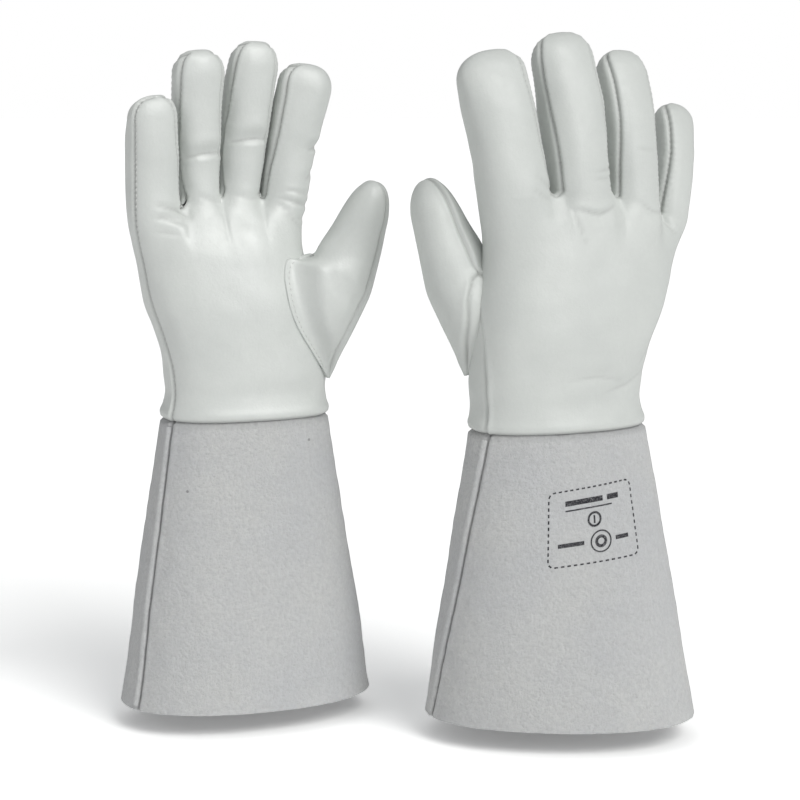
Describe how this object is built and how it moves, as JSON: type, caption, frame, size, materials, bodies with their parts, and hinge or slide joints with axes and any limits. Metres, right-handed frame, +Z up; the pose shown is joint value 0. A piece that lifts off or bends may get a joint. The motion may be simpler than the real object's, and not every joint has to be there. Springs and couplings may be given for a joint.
{
  "type": "welding gloves",
  "caption": "Pair of long-cuffed welding gloves in smooth pale leather with split leather gauntlets, standing upright, one palm side and one back side to the front.",
  "frame": {"origin": "centre of the footprint of the two standing gloves, on the level their cuff hems stand on", "axes": "+Z up along both gloves to the fingertips, +X from the palm glove towards the back glove, -Y towards the front, where the first glove shows its palm"},
  "size_m": [0.2951, 0.1239, 0.3417],
  "materials": {
    "grain_leather": "smooth undyed grain leather, fine even pores, low sheen",
    "split_leather": "suede split leather with a short soft nap, matte",
    "welt_leather": "folded strip of thin leather, matte",
    "thread": "twisted sewing thread, matte",
    "stamp_ink": "thin dark ink, matte"
  },
  "bodies": {
    "palm_cuff": {"palm_cuff_front": "split_leather", "palm_cuff_back": "split_leather", "palm_cuff_welts": "welt_leather"},
    "palm_hand": {"palm_hand_front": "grain_leather", "palm_hand_back": "grain_leather", "palm_hand_crotches": "grain_leather", "palm_hand_welt": "welt_leather"},
    "palm_thumb": {"palm_thumb_front": "grain_leather", "palm_thumb_back": "grain_leather"},
    "palm_little": {"palm_little_front": "grain_leather", "palm_little_back": "grain_leather", "palm_little_gusset": "grain_leather"},
    "palm_ring": {"palm_ring_front": "grain_leather", "palm_ring_back": "grain_leather", "palm_ring_gussets": "grain_leather"},
    "palm_middle": {"palm_middle_front": "grain_leather", "palm_middle_back": "grain_leather", "palm_middle_gussets": "grain_leather"},
    "palm_index": {"palm_index_front": "grain_leather", "palm_index_back": "grain_leather", "palm_index_gusset": "grain_leather"},
    "back_cuff": {"back_cuff_front": "split_leather", "back_cuff_back": "split_leather", "back_cuff_welts": "welt_leather"},
    "back_hand": {"back_hand_front": "grain_leather", "back_hand_back": "grain_leather", "back_hand_crotches": "grain_leather", "back_hand_welt": "welt_leather"},
    "back_thumb": {"back_thumb_front": "grain_leather", "back_thumb_back": "grain_leather"},
    "back_little": {"back_little_front": "grain_leather", "back_little_back": "grain_leather", "back_little_gusset": "grain_leather"},
    "back_ring": {"back_ring_front": "grain_leather", "back_ring_back": "grain_leather", "back_ring_gussets": "grain_leather"},
    "back_middle": {"back_middle_front": "grain_leather", "back_middle_back": "grain_leather", "back_middle_gussets": "grain_leather"},
    "back_index": {"back_index_front": "grain_leather", "back_index_back": "grain_leather", "back_index_gusset": "grain_leather"}
  },
  "joints": [
    {"name": "palm_wrist_bend", "type": "hinge", "parent": "palm_cuff", "child": "palm_hand", "pos_m": [-0.10055, -0.01702, 0.147], "axis": [1, 0, 0], "range_deg": [0, 25], "stiffness_Nm_per_rad": 0.6},
    {"name": "palm_little_bend", "type": "hinge", "parent": "palm_hand", "child": "palm_little", "pos_m": [-0.12181, -0.01848, 0.25491], "axis": [0.9384, 0.3416, 0.0523], "range_deg": [0, 50], "stiffness_Nm_per_rad": 0.03},
    {"name": "palm_ring_bend", "type": "hinge", "parent": "palm_hand", "child": "palm_ring", "pos_m": [-0.10139, -0.00476, 0.26077], "axis": [0.9392, 0.3418, 0.0332], "range_deg": [0, 50], "stiffness_Nm_per_rad": 0.03},
    {"name": "palm_middle_bend", "type": "hinge", "parent": "palm_hand", "child": "palm_middle", "pos_m": [-0.08234, 0.0034, 0.26294], "axis": [0.9361, 0.3407, -0.0872], "range_deg": [0, 50], "stiffness_Nm_per_rad": 0.03},
    {"name": "palm_index_bend", "type": "hinge", "parent": "palm_hand", "child": "palm_index", "pos_m": [-0.06112, 0.00903, 0.25913], "axis": [0.9279, 0.3377, -0.1582], "range_deg": [0, 50], "stiffness_Nm_per_rad": 0.03},
    {"name": "palm_thumb_bend", "type": "hinge", "parent": "palm_hand", "child": "palm_thumb", "pos_m": [-0.06292, -0.00359, 0.205], "axis": [0.1233, 0.0238, -0.9921], "range_deg": [0, 25], "stiffness_Nm_per_rad": 0.05},
    {"name": "back_wrist_bend", "type": "hinge", "parent": "back_cuff", "child": "back_hand", "pos_m": [0.09412, 0.01484, 0.147], "axis": [-1, 0, 0], "range_deg": [0, 25], "stiffness_Nm_per_rad": 0.6},
    {"name": "back_little_bend", "type": "hinge", "parent": "back_hand", "child": "back_little", "pos_m": [0.12319, 0.02395, 0.25019], "axis": [-0.889, -0.4146, 0.1942], "range_deg": [0, 50], "stiffness_Nm_per_rad": 0.03},
    {"name": "back_ring_bend", "type": "hinge", "parent": "back_hand", "child": "back_ring", "pos_m": [0.10339, 0.0082, 0.26074], "axis": [-0.9063, -0.4226, 0.007], "range_deg": [0, 50], "stiffness_Nm_per_rad": 0.03},
    {"name": "back_middle_bend", "type": "hinge", "parent": "back_hand", "child": "back_middle", "pos_m": [0.07702, -0.00536, 0.26544], "axis": [-0.904, -0.4215, -0.0715], "range_deg": [0, 50], "stiffness_Nm_per_rad": 0.03},
    {"name": "back_index_bend", "type": "hinge", "parent": "back_hand", "child": "back_index", "pos_m": [0.04524, -0.01802, 0.2626], "axis": [-0.8975, -0.4185, -0.1392], "range_deg": [0, 50], "stiffness_Nm_per_rad": 0.03},
    {"name": "back_thumb_bend", "type": "hinge", "parent": "back_hand", "child": "back_thumb", "pos_m": [0.05346, -0.00178, 0.205], "axis": [-0.1208, -0.0344, -0.9921], "range_deg": [0, 25], "stiffness_Nm_per_rad": 0.05},
    {"name": "back_glove_lift", "type": "slide", "parent": "palm_cuff", "child": "back_cuff", "axis": [0, 0, 1], "range_m": [0, 0.4]}
  ]
}
